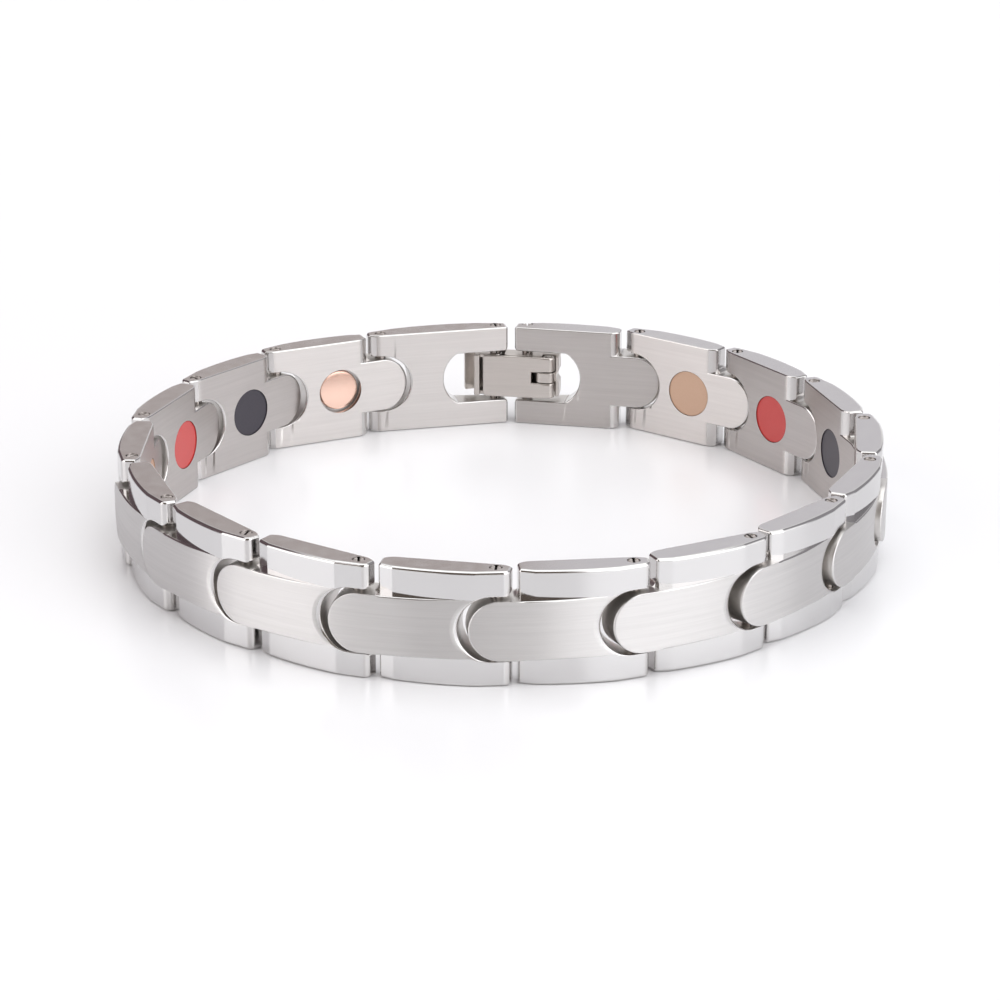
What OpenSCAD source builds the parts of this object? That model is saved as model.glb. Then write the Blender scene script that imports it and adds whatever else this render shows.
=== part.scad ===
// Stainless steel link bracelet, closed in a ring and standing on its edge.
// The ring's axis is z, its middle is at x = 0 and y = 0, and the clasp is at +y.
// In a link's own frame its pin is at x = 0, its tongue points to +x, its inner
// face is at y = 0, its outer face looks to +y, and its lower edge is at z = 0.

/* [Link] */
// Height of a link as the ring stands, the bracelet's width
link_h = 10.4; // [9.8:0.1:11.2]
// Distance along a link from its own pin to the pin through its tongue
pitch = 11.7; // [11.6:0.05:11.8]
// Reach of the two arms past their pin
arm_reach = 1.35; // [1.2:0.05:1.4]
// Distance from a link's own pin to the shoulder at the root of its tongue
shoulder_x = 9.85; // [9.6:0.05:9.85]
// Thickness of a rail at the arm end
arm_t = 1.65; // [1.5:0.05:1.9]
// Thickness of a rail at its two creases
crease_t = 2.4; // [2.2:0.1:2.6]
// Thickness of a rail at the shoulder
shoulder_t = 1.95; // [1.8:0.05:2.1]
// Length of the slanted face at the arm end
arm_facet = 2.8; // [2.4:0.1:3.2]
// Length of the slanted face at the shoulder
shoulder_facet = 1.3; // [1:0.05:1.4]
// Radius of the long curve along a rail
crown_r = 28; // [24:1:40]

/* [Tongue and socket] */
// Height of the tongue and of the raised band that it grows from
tongue_h = 5.4; // [5.1:0.1:5.5]
// Reach of the tongue past the pin through it
tongue_reach = 2.5; // [2.3:0.05:2.5]
// Thickness of the band at the highest point of its arch
band_t = 3.03; // [2.9:0.01:3.1]
// Radius of the band's arch
band_r = 33; // [30:1:36]
// Place of the arch's highest point along the link
band_top_x = 8.2; // [8:0.1:8.6]
// Height of the socket between the arms
socket_h = 5.9; // [5.8:0.1:6.1]
// Depth of the socket from the arm end
socket_depth = 4.35; // [4.35:0.05:4.6]

/* [Pins and discs] */
// Diameter of the split pins
pin_d = 1.1; // [1:0.05:1.2]
// Depth of a link's own pin under its inner face
own_pin_y = 0.85; // [0.8:0.05:0.9]
// Depth of the pin through the tongue
tongue_pin_y = 1.25; // [1.15:0.05:1.3]
// Diameter of the bore for a black, red or tan disc
disc_bore = 4.75; // [4.4:0.05:4.9]
// Diameter of the bore for a copper disc
copper_bore = 4.6; // [4.4:0.05:4.8]
// Diameter of a copper disc, which stands free of its bore's wall
copper_d = 4.15; // [4:0.05:4.3]
// Thickness of the black, red and tan discs
disc_t = 1; // [0.8:0.05:1.2]
// Place of the disc's middle along the link
disc_x = 6.7; // [6.5:0.1:6.8]

/* [Clasp] */
// Height of the two clasp windows
window_h = 5.3; // [5.2:0.05:5.5]
// Depth of the left link's window from its arm end
left_window = 6.85; // [6.8:0.05:7]
// Depth of the right link's window from its arm end
right_window = 6.9; // [6.9:0.05:7.1]
// Height of the base's channel
base_h = 4.4; // [4.3:0.05:4.6]
// Height of the cover
cover_h = 4.4; // [4.3:0.05:4.6]
// Thickness of the cover's plate
cover_t = 0.4; // [0.4:0.05:0.55]
// Outer diameter of the cover's hinge barrel
barrel_d = 1.24; // [1.2:0.02:1.26]

/* [Hidden] */
$fn = 96;
// Facets of the long arches, so fine that they are smooth
arch_fn = 720;
// Gap between pieces that do not move on each other
gap = 0.03;
// Running clearance round a pin
pin_gap = 0.02;
// Overlap of a cutter past the face that it cuts
past = 1;

mid_z = link_h / 2;
crease_arm_x = arm_facet - arm_reach;
crease_shoulder_x = shoulder_x - shoulder_facet;

// Rounded inner corners seen from above, their length along the link and depth on the end face:
// at an arm end, at the shoulder, and at the arms of a clasp window
arm_corner = [1.3, 0.45];
shoulder_corner = [1.2, 0.6];
window_corner = [0.3, 0.3];
// Radii of the tongue's tip, seen from above: on the outside and on the inside
tip_outer_r = 0.9;
tip_inner_r = 0.45;
// Radii of the arms' tips, seen from inside the ring: at a socket and at a clasp window
socket_tip_r = 0.2;
window_tip_r = 0.4;
// Radii of the bottom of a clasp window: its long arc, and its two corners
window_end_r = 3.15;
window_corner_r = 0.7;

// The left clasp link: from its own pin to the clasp's pin, that pin's depth, and the reach past it
left_len = 12.2;
left_pin_y = 1.05;
left_reach = 1.12;
// The right clasp link: from the clasp's pin to its tongue's pin, that pin's depth, and the reach past it
right_len = 11.8;
right_pin_y = 1.45;
right_reach = 1.12;

// Split pins: how deep they sit under the edges, and the slot in their ends
pin_sink = 0.1;
slot_w = 0.2;
slot_depth = 0.8;

// Copper disc: how deep it lies, and the radius of its dome
copper_sink = 0.3;
dome_r = 12;

// Clasp, in its own frame: the left link's pin at x = 0 and y = 0, +x to the right link, +y outwards
right_pin = [3.25, 0.8];
// Base: outer plate's outer face and thickness, its arch, ends, and the curled lip at its left
plate_y = 1.9;
plate_t = 0.45;
plate_r = 34;
plate_mid_x = 1.8;
plate_right_x = 6.68;
lip_start_x = -1.5;
lip_r = 4.7;
lip_sweep = 26;
// Base: radius of the fold between its plate and side walls
fold_r = 0.8;
// Base: side walls from the channel's mouth, their step under the hinge, and the end wall
wall_t = 0.45;
wall_left_x = 1;
wall_mouth_y = -0.62;
step_x = 4.95;
step_y = 0.12;
end_wall_x = 6.33;
end_wall_y = -0.45;
notch_w = 1.3;
notch_inner_w = 0.6;
notch_depth = 0.25;
// Hinge of the cover
hinge = [5.67, -0.58];
hinge_pin_d = 0.6;
knuckle_gap = 0.06;
hinge_tongue_h = 1.05;
hinge_tongue_reach = 0.75;
// Cover: inner face, free end, slot for the hinge tongue, and corner radius
cover_y = -1.2;
cover_left_x = -1.17;
cover_slot_x = 3.9;
cover_corner_r = 0.4;
// Catch: the bar across the window, and the ears on the left link's pin
catch_h = 4.2;
bar_x = -2.12;
bar_t = 0.6;
bar_mouth_y = -1.1;
bar_outer_y = 1;
ear_mouth_y = -0.62;
ear_t = 0.4;
ear_r = 0.7;

// Way that each link's +x axis lies, in degrees. Links run from the clasp round by the left:
// the left clasp link, seven links on the left side, two at the front that close the ring,
// seven on the right side, and the right clasp link.
left_lie = [13, 25, 50, 68.5, 88.5, 109.5, 129, 146];
right_lie = [207, 226.5, 245, 264.5, 286.5, 304, 323, 348.5];
clasp_lie = 351.5;

function turn(a, v) = [v.x * cos(a) - v.y * sin(a), v.x * sin(a) + v.y * cos(a)];
function way(v) = (atan2(v.y, v.x) + 360) % 360;

link_step = [pitch, tongue_pin_y - own_pin_y];
left_step = [left_len, left_pin_y - own_pin_y];
right_step = [right_len, tongue_pin_y - right_pin_y];

// Pins on the left side, each one link further from the left clasp link's own pin at [0, 0]
function left_pins(i) = i == 0 ? [[0, 0]] :
    concat(left_pins(i - 1), [left_pins(i - 1)[i - 1] - turn(left_lie[i], link_step)]);
clasp_left_pin = turn(left_lie[0], left_step);
clasp_right_pin = clasp_left_pin + turn(clasp_lie, right_pin);
// Pins on the right side, from the clasp's right pin towards the front
function right_pins(i) = i == 0 ? [clasp_right_pin] :
    concat(right_pins(i - 1), [right_pins(i - 1)[i - 1] +
        turn(right_lie[len(right_lie) - i], i == 1 ? right_step : link_step)]);
side_links = len(left_lie) - 1;
left_side = left_pins(side_links);
right_side = right_pins(side_links + 1);
// The front pin lies one link from the last pin of each side, on the outside of their chord
last_left = left_side[side_links];
last_right = right_side[side_links + 1];
chord = last_left - last_right;
front_pin = (last_left + last_right) / 2 +
    turn(90, chord / norm(chord)) * sqrt(pow(norm(link_step), 2) - pow(norm(chord) / 2, 2));
step_way = way(link_step);
front_lie = [way(last_left - front_pin) - step_way, way(front_pin - last_right) - step_way];

// Every link in order: way it lies, and its own pin
lie = concat(left_lie, front_lie, right_lie);
pin_at = concat(left_side, [front_pin, last_right],
    [for (i = [side_links:-1:1]) right_side[i]], [clasp_right_pin]);
last = len(lie) - 1;

// The ring's box, from the outlines of its links, whose middle goes to the origin
outline = [for (i = [0:last], x = [-arm_reach:0.5:pitch + tongue_reach])
    pin_at[i] + turn(lie[i], [x, band_face_y(x) - own_pin_y])];
function band_face_y(x) = band_t - band_r + sqrt(pow(band_r, 2) - pow(x - band_top_x, 2));
function middle(k) = (max([for (p = outline) p[k]]) + min([for (p = outline) p[k]])) / 2;
ring_middle = [middle(0), middle(1)];

disc_kinds = ["copper", "black", "red", "tan"];
function two(i) = str(i < 10 ? "0" : "", i);
function link_name(i) = i == 0 ? "clasp_link_left" : i == last ? "clasp_link_right" : str("link_", two(i));
function disc_kind(i) = disc_kinds[(i - 1) % 4];
function disc_name(i) = str("disc_", disc_kind(i), "_", two(i));
function pin_name(i) = i == last ? "clasp_pin_right" : str("pin_", two(i + 1));

// Puts a piece that is drawn in a frame at a pin where that pin and frame lie in the ring
module at(pin, angle, pin_y = 0) {
    translate([pin.x - ring_middle.x, pin.y - ring_middle.y, 0])
        rotate(angle)
            translate([0, -pin_y, 0])
                children();
}

// Upright cylinder from z0 to z1 with its axis at p
module post(p, d, z0, z1) {
    translate([p.x, p.y, z0])
        cylinder(d = d, h = z1 - z0);
}

// Outline in x and z, carried along y from y0 to y1
module across(y0, y1) {
    translate([0, y1, 0])
        rotate([90, 0, 0])
            linear_extrude(y1 - y0)
                children();
}

// What a rounded corner leaves over, for a corner at the origin with the metal towards +x and +y.
// Its arc meets the x axis smoothly at the length, and cuts the y axis at the depth.
module corner_waste(length, depth) {
    r = (length * length + depth * depth) / (2 * depth);
    difference() {
        translate([-length, -depth])
            square([2 * length, 2 * depth]);
        translate([length, r])
            circle(r);
    }
}

// Rail seen from above: flat inside, with a long crown between two slanted ends
module rail_outline(x0, x1, t0, t1, crease0, crease1, corner0, corner1) {
    slope0 = (crease_t - t0) / (crease0 - x0);
    slope1 = (crease_t - t1) / (x1 - crease1);
    ridge_x = (t1 - t0 + slope0 * x0 + slope1 * x1) / (slope0 + slope1);
    half = (crease1 - crease0) / 2;
    difference() {
        intersection() {
            polygon([[x0, 0], [x1, 0], [x1, t1], [ridge_x, t0 + slope0 * (ridge_x - x0)], [x0, t0]]);
            translate([crease0 + half, crease_t - sqrt(crown_r * crown_r - half * half)])
                circle(crown_r, $fn = arch_fn);
        }
        translate([x0, 0])
            corner_waste(corner0[0], corner0[1]);
        translate([x1, 0])
            mirror([1, 0])
                corner_waste(corner1[0], corner1[1]);
    }
}

// Band and tongue seen from above: flat inside, arched outside, with a rounded tip
module band_outline(tip_x) {
    tip_t = band_face_y(tip_x);
    difference() {
        intersection() {
            square([tip_x, band_t]);
            translate([band_top_x, band_t - band_r])
                circle(band_r, $fn = arch_fn);
        }
        translate([tip_x, tip_t])
            rotate(180)
                corner_waste(tip_outer_r, tip_outer_r);
        translate([tip_x, 0])
            mirror([1, 0])
                corner_waste(tip_inner_r, tip_inner_r);
    }
}

// Bar with a half-round end at x1, in x and z, centred on the link's height
module half_round(x0, x1, h) {
    translate([x0, mid_z - h / 2])
        square([x1 - h / 2 - x0, h]);
    translate([x1 - h / 2, mid_z])
        circle(d = h);
}

// Bar whose end at x1 is a long arc between two small corners, in x and z
module window_shape(x0, x1, h) {
    half = h / 2 - window_corner_r;
    to_corner = window_end_r - window_corner_r;
    arc_x = x1 - window_end_r;
    corner_x = arc_x + sqrt(to_corner * to_corner - half * half);
    far = 2 * window_end_r / to_corner;
    translate([x0, mid_z - h / 2])
        square([corner_x - x0, h]);
    for (side = [-1, 1])
        translate([corner_x, mid_z + side * half])
            circle(window_corner_r);
    intersection() {
        translate([arc_x, mid_z])
            circle(window_end_r);
        translate([arc_x, mid_z])
            polygon([[0, 0], far * [corner_x - arc_x, -half], far * [corner_x - arc_x, half]]);
    }
}

// Cutter for the slot between two arms that end at x0, with the arms' tips rounded. A child draws its outline
module slot_cutter(x0, h, tip_r) {
    across(-past, band_t + past) {
        children();
        for (side = [0, 1])
            translate([0, side * link_h])
                mirror([0, side])
                    for (corner = [0, 1])
                        translate([x0, corner * (link_h - h) / 2])
                            mirror([0, corner])
                                corner_waste(tip_r, tip_r);
    }
}

// Cutter for a socket whose arms end at x0
module socket_cutter(x0) {
    slot_cutter(x0, socket_h, socket_tip_r)
        half_round(x0 - past, x0 + socket_depth, socket_h);
}

// Cutter for a clasp window whose arms end at x0
module window_cutter(x0, depth) {
    slot_cutter(x0, window_h, window_tip_r)
        window_shape(x0 - past, x0 + depth, window_h);
}

// Bore along z for a split pin
module pin_bore(x, y) {
    post([x, y], pin_d + 2 * pin_gap, -past, link_h + past);
}

// Link with a tongue at tongue_x, whose arms reach past a pin at depth pin_y. The slot between them
// is cut by a child
module tongue_link(reach, corner, pin_y, tongue_x) {
    difference() {
        union() {
            linear_extrude(link_h)
                rail_outline(-reach, shoulder_x, arm_t, shoulder_t, crease_arm_x, crease_shoulder_x,
                    corner, shoulder_corner);
            intersection() {
                linear_extrude(link_h)
                    band_outline(tongue_x + tongue_reach);
                across(-past, band_t + past)
                    half_round(0, tongue_x + tongue_reach, tongue_h);
            }
        }
        children();
        pin_bore(0, pin_y);
        pin_bore(tongue_x, tongue_pin_y);
    }
}

// Middle link, bored on the inside for its disc
module link(i) {
    bore_d = disc_kind(i) == "copper" ? copper_bore : disc_bore;
    color("silver")
        difference() {
            tongue_link(arm_reach, arm_corner, own_pin_y, pitch)
                socket_cutter(-arm_reach);
            across(-past, disc_t + gap)
                translate([disc_x, mid_z])
                    circle(d = bore_d);
        }
}

// Right clasp link: a tongue at one end and the clasp's window at the other
module clasp_link_right() {
    color("silver")
        tongue_link(right_reach, window_corner, right_pin_y, right_len)
            window_cutter(-right_reach, right_window);
}

// Left clasp link: a socket for the next link's tongue at one end and the clasp's window at the other
module clasp_link_left() {
    end_x = left_len + left_reach;
    color("silver")
        difference() {
            linear_extrude(link_h)
                rail_outline(-arm_reach, end_x, arm_t, arm_t, crease_arm_x, end_x - arm_facet,
                    arm_corner, window_corner);
            socket_cutter(-arm_reach);
            translate([end_x, 0, 0])
                mirror([1, 0, 0])
                    window_cutter(0, left_window);
            pin_bore(0, own_pin_y);
            pin_bore(left_len, left_pin_y);
        }
}

// Black, red or tan disc, flush with the link's inner face
module flush_disc(i) {
    color(disc_kind(i) == "black" ? "#3d3a45" : disc_kind(i) == "red" ? "#c85050" : "#c9a88f")
        across(0, disc_t)
            translate([disc_x, mid_z])
                circle(d = disc_bore - 2 * gap);
}

// Copper disc, sunk in its bore and slightly domed
module copper_disc() {
    color("#e9b9a0")
        intersection() {
            across(copper_sink, disc_t)
                translate([disc_x, mid_z])
                    circle(d = copper_d);
            translate([disc_x, copper_sink + dome_r, mid_z])
                sphere(dome_r, $fn = arch_fn / 2);
        }
}

module disc(i) {
    if (disc_kind(i) == "copper")
        copper_disc();
    else
        flush_disc(i);
}

// Split pin: a round wire with a slot in each end, its axis at the origin
module split_pin() {
    color("gray")
        difference() {
            post([0, 0], pin_d, pin_sink, link_h - pin_sink);
            for (z = [pin_sink, link_h - pin_sink])
                translate([0, 0, z])
                    cube([pin_d + past, slot_w, 2 * slot_depth], center = true);
        }
}

// Part of a ring wall seen from above, between the radii r0 and r1, from angle a by the sweep
module ring_sector(r0, r1, a, sweep) {
    far = 2 * r1;
    difference() {
        intersection() {
            circle(r1, $fn = arch_fn);
            polygon([[0, 0], far * [cos(a), sin(a)], far * [cos(a + sweep / 2), sin(a + sweep / 2)],
                far * [cos(a + sweep), sin(a + sweep)]]);
        }
        circle(r0, $fn = arch_fn);
    }
}

// Base's outer plate between two places along the clasp, arched like the ring, seen from above
module base_plate(x0, x1) {
    centre = [plate_mid_x, plate_y - plate_r];
    a0 = acos((x1 - centre.x) / plate_r);
    a1 = acos((x0 - centre.x) / plate_r);
    translate(centre)
        ring_sector(plate_r - plate_t, plate_r, a0, a1 - a0);
}

// Lip that curls inwards from the plate's left end, seen from above
module base_lip() {
    a = acos((lip_start_x - plate_mid_x) / plate_r);
    centre = [plate_mid_x, plate_y - plate_r] + (plate_r - lip_r) * [cos(a), sin(a)];
    translate(centre)
        ring_sector(lip_r - plate_t, lip_r, a, lip_sweep);
}

// Face of the plate that looks into the channel, at a place along the clasp
function plate_inside_y(x) = plate_y - plate_r + sqrt(pow(plate_r - plate_t, 2) - pow(x - plate_mid_x, 2));
// Middle of the plate's thickness at its right end
end_plate_y = plate_inside_y(plate_right_x) + plate_t / 2;

// Block that the base is folded in: a length of y and z with two rounded outer edges, carried along x
module fold_block(x0, x1) {
    y0 = hinge.y - barrel_d;
    translate([x0, 0, mid_z])
        rotate([90, 0, 90])
            linear_extrude(x1 - x0) {
                translate([y0, -base_h / 2])
                    square([plate_y - fold_r - y0, base_h]);
                translate([y0, fold_r - base_h / 2])
                    square([plate_y - y0, base_h - 2 * fold_r]);
                for (side = [-1, 1])
                    translate([plate_y - fold_r, side * (base_h / 2 - fold_r)])
                        circle(fold_r);
            }
}

// Side wall of the base, seen from above, from the channel's mouth to the plate
module base_wall() {
    wall_y = plate_y - plate_t / 2;
    polygon([[wall_left_x, wall_mouth_y], [step_x, wall_mouth_y], [step_x, step_y], [plate_right_x, step_y],
        [plate_right_x, end_plate_y], [plate_mid_x, wall_y], [wall_left_x, wall_y]]);
}

// Tongue in the end wall, whose long eye holds the hinge's pin
module hinge_tongue() {
    root_x = (end_wall_x + plate_right_x) / 2;
    translate([0, 0, mid_z - hinge_tongue_h / 2]) {
        for (reach = [0, hinge_tongue_reach])
            translate([hinge.x - reach, hinge.y])
                cylinder(d = barrel_d, h = hinge_tongue_h);
        translate([hinge.x - hinge_tongue_reach, hinge.y - barrel_d / 2])
            cube([hinge_tongue_reach, barrel_d, hinge_tongue_h]);
        translate([hinge.x, end_wall_y])
            cube([root_x - hinge.x, step_y - end_wall_y, hinge_tongue_h]);
    }
}

// Base: a channel on the right clasp pin, with a lip at the left, and the hinge tongue in its end wall
module clasp_base() {
    floor_z = mid_z - base_h / 2;
    color("lightslategray")
        difference() {
            intersection() {
                union() {
                    translate([0, 0, floor_z])
                        linear_extrude(base_h) {
                            base_plate(lip_start_x, plate_right_x);
                            base_lip();
                        }
                    for (z = [floor_z, floor_z + base_h - wall_t])
                        translate([0, 0, z])
                            linear_extrude(wall_t)
                                base_wall();
                    translate([end_wall_x, end_wall_y, floor_z])
                        cube([plate_right_x - end_wall_x, end_plate_y - end_wall_y, base_h]);
                    hinge_tongue();
                }
                fold_block(-lip_r, plate_right_x);
            }
            post(hinge, hinge_pin_d + 2 * pin_gap, 0, link_h);
            post(right_pin, pin_d + 2 * pin_gap, 0, link_h);
            across(-2 * barrel_d, plate_y + past)
                translate([plate_right_x, mid_z])
                    polygon([[gap, -notch_w / 2 - gap], [gap, notch_w / 2 + gap],
                        [-notch_depth, notch_inner_w / 2], [-notch_depth, -notch_inner_w / 2]]);
        }
}

// Catch: a bar across the left window, joined by two ears to the left clasp pin
module clasp_catch() {
    low_z = mid_z - catch_h / 2;
    color("gainsboro")
        difference() {
            union() {
                translate([bar_x, bar_mouth_y, low_z])
                    cube([bar_t, bar_outer_y - bar_mouth_y, catch_h]);
                for (z = [low_z, low_z + catch_h - ear_t]) {
                    post([0, 0], 2 * ear_r, z, z + ear_t);
                    translate([bar_x, ear_mouth_y, z])
                        cube([-bar_x, ear_r - ear_mouth_y, ear_t]);
                }
            }
            post([0, 0], pin_d + 2 * pin_gap, 0, link_h);
        }
}

// Cover: a plate with rounded corners, and two knuckles that curl round the cover's pin
module clasp_cover() {
    low_z = mid_z - cover_h / 2;
    slot_h = hinge_tongue_h + 2 * knuckle_gap;
    color("silver")
        difference() {
            union() {
                intersection() {
                    translate([cover_left_x, cover_y, low_z])
                        cube([hinge.x - cover_left_x, cover_t, cover_h]);
                    across(cover_y - past, cover_y + past)
                        translate([cover_left_x, low_z])
                            difference() {
                                square([2 * (hinge.x - cover_left_x), cover_h]);
                                for (side = [0, 1])
                                    translate([0, side * cover_h])
                                        mirror([0, side])
                                            corner_waste(cover_corner_r, cover_corner_r);
                            }
                }
                post(hinge, barrel_d, low_z, low_z + cover_h);
            }
            post(hinge, hinge_pin_d + 2 * pin_gap, 0, link_h);
            translate([cover_slot_x, cover_y - past, mid_z - slot_h / 2])
                cube([hinge.x + barrel_d - cover_slot_x, 2 * barrel_d + past, slot_h]);
        }
}

// Pin that the cover turns on, held in the base's tongue
module cover_pin() {
    color("gray")
        post(hinge, hinge_pin_d, mid_z - cover_h / 2 + gap, mid_z + cover_h / 2 - gap);
}

for (i = [0:last])
    at(pin_at[i], lie[i], i == last ? right_pin_y : own_pin_y) {
            if (i == 0)
                clasp_link_left();
            else if (i == last)
                clasp_link_right();
            else
                link(i);
        }
for (i = [1:last - 1])
    at(pin_at[i], lie[i], own_pin_y) disc(i);
for (i = [0:last])
    at(pin_at[i], lie[i]) split_pin();
at(clasp_left_pin, clasp_lie) split_pin();  // clasp_pin_left
at(clasp_left_pin, clasp_lie) clasp_base();
at(clasp_left_pin, clasp_lie) clasp_catch();
at(clasp_left_pin, clasp_lie) clasp_cover();
at(clasp_left_pin, clasp_lie) cover_pin();
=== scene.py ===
"""Looks of a stainless steel link bracelet: its links, discs, split pins and fold-over clasp.

Each piece is drawn in its own frame in millimetres, x along the link, y outwards and z up. It is then put
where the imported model's pins are.
"""

import bmesh
import bpy
import numpy as np
from bpy.props import FloatProperty, FloatVectorProperty, PointerProperty
from mathutils import Matrix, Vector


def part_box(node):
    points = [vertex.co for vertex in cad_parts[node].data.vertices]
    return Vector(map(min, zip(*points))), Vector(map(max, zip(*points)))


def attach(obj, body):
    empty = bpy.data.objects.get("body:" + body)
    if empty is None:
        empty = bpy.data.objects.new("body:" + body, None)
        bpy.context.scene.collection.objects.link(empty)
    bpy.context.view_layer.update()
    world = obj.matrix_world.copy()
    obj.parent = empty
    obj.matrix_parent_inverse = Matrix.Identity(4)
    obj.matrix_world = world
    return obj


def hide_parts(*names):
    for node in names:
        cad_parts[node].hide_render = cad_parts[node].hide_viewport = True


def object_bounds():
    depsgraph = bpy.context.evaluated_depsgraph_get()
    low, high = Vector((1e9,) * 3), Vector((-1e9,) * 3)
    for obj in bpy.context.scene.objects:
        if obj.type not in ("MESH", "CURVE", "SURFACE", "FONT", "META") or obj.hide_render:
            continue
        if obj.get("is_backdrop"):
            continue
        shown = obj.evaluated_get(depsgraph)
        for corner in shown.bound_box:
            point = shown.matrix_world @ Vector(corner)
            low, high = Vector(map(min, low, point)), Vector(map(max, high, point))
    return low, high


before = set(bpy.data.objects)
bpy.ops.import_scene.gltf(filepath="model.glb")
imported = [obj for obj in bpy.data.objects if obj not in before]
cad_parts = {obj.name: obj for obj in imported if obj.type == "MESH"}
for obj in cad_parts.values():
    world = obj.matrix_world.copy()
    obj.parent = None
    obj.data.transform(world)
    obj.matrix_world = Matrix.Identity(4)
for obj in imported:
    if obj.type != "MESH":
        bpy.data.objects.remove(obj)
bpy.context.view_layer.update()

bl_info = {
    "name": "Steel link bracelet",
    "version": (1, 0, 0),
    "blender": (4, 5, 0),
    "location": "3D View > Sidebar > Bracelet",
    "description": "Draws the links, discs, pins and clasp of a steel link bracelet on its packed model",
    "category": "Object",
}

MM = 0.001
LOW, HIGH = (np.array(corner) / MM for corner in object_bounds())
LINK_H = float(HIGH[2] - LOW[2])
MID = LINK_H / 2

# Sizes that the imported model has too, in millimetres
PITCH, ARM_REACH, SHOULDER_X = 11.7, 1.35, 9.85
ARM_T, CREASE_T, SHOULDER_T = 1.65, 2.4, 1.95
CREASE_ARM, CREASE_SHOULDER, ARM_FACET, CROWN_R = 1.45, 8.55, 2.8, 28.0
TONGUE_H, TONGUE_REACH = 5.4, 2.5
BAND_T, BAND_R, BAND_TOP = 3.03, 33.0, 8.2
SOCKET_H, SOCKET_END = 5.9, 3.0
PIN_D, PIN_GAP, OWN_PIN_Y, TONGUE_PIN_Y = 1.1, 0.02, 0.85, 1.25
DISC_BORE, COPPER_BORE, COPPER_D, DISC_T, DISC_X = 4.75, 4.6, 4.15, 1.0, 6.7
DISC_GAP, COPPER_SINK, DOME_R = 0.03, 0.3, 12
# Inner corners at an arm end, at the shoulder and at a clasp window: length along the link, depth on the end
ARM_CORNER, SHOULDER_CORNER, WINDOW_CORNER = (1.3, 0.45), (1.2, 0.6), (0.3, 0.3)
# Clasp windows: height, and the radii of the bottom's long arc and of its two corners
WINDOW_H, WINDOW_END_R, WINDOW_CORNER_R = 5.3, 3.15, 0.7
LEFT_LEN, LEFT_REACH, LEFT_PIN_Y, LEFT_WINDOW = 12.2, 1.12, 1.05, 6.85
RIGHT_LEN, RIGHT_REACH, RIGHT_PIN_Y, RIGHT_WINDOW = 11.8, 1.12, 1.45, 6.9
RIGHT_PIN = (3.25, 0.8)
# Clasp, whose wrist side is at negative y: folded sheet, lip, side walls, end wall, hinge, cover and catch.
# The end wall and the cover's pin reach INNER_HALF up and down, just short of the sheet's sides
SHEET_T, SHEET_HALF, INNER_HALF, FOLD_R = 0.45, 2.2, 2.17, 0.8
PLATE_Y, PLATE_R, PLATE_MID, PLATE_END = 1.9, 34.0, 1.8, 6.68
LIP_X, LIP_R, LIP_SWEEP, LIP_FOLD = -1.5, 4.7, np.radians(26), 0.25
WALL_X, WALL_MOUTH, WALL_CORNER, STEP_X, STEP_Y, STEP_HALF = 1.0, -0.62, 0.25, 4.95, 0.12, 0.06
END_WALL_X, END_WALL_Y, NOTCH_HALF, NOTCH_INNER, NOTCH_DEPTH = 6.33, -0.45, 0.68, 0.3, 0.25
HINGE, BARREL_R, HINGE_PIN_R = np.array([5.67, -0.58]), 0.62, 0.3
EYE_HALF, EYE_REACH, KNUCKLE_GAP = 0.525, 0.75, 0.06
COVER_X, COVER_T, COVER_SLOT_X, COVER_CORNER, COVER_END = -1.17, 0.4, 3.9, 0.4, 0.12
CATCH_HALF, BAR_X, BAR_T, BAR_Y, EAR_T, EAR_R = 2.2, -2.12, 0.6, (-1.1, 1.0), 0.4, 0.66
# The band's solid starts inside the socket, which is cut afterwards, and lies this much over the rails' face
BAND_START, BAND_LIFT = 0.9, 0.004

# Small roundings that only the looks have, in millimetres. A plate's sides, outer edges and inner edges
PLATE_SIDE, PLATE_EDGE, PLATE_INNER = 0.24, 0.3, 0.14
# A plate's outer face at an arm end, at the shoulder, and at the left and right clasp link's window ends
ARM_END, SHOULDER_END, LEFT_END, RIGHT_END = 0.5, 0.2, 0.4, 0.4
# Rims of a slot on the outer and on the inner face, each as the radius along its straight sides and the width
# and depth at its round bottom, and then the radius of the slot's tips
SOCKET_RIMS = (0.07, 0.75, 0.28), (0.08, 0.25, 0.2), 0.36
WINDOW_RIMS = (0.2, 0.2, 0.2), (0.14, 0.14, 0.14), 0.4
# Hollow fillet at the tongue's root: radius, how far it is sunk in the metal, and the depths that it spans
FILLET_R, FILLET_SUNK, FILLET_Y = 0.5, 0.006, (0.62, 1.76)
# Split pin: how far its ends lie under the rails' edges, half the slit, and the rounding of its ends
PIN_SINK, PIN_SLIT, PIN_ROUND = 0.07, 0.075, 0.16
# Points closer than this become one after a cut. Edges sharper than these angles, in degrees, stay sharp
MERGE, SHARP, TURNED_SHARP = 0.0025, 38, 50
# Depth of the floor under the lower edge, so that the two don't flicker
FLOOR_GAP = 0.02

# Finishes of a link's faces, numbered in this order
LINK_FINISHES = ("band", "inside", "edge", "rail", "wall")
BAND, INSIDE, EDGE, RAIL, WALL = range(5)

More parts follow.
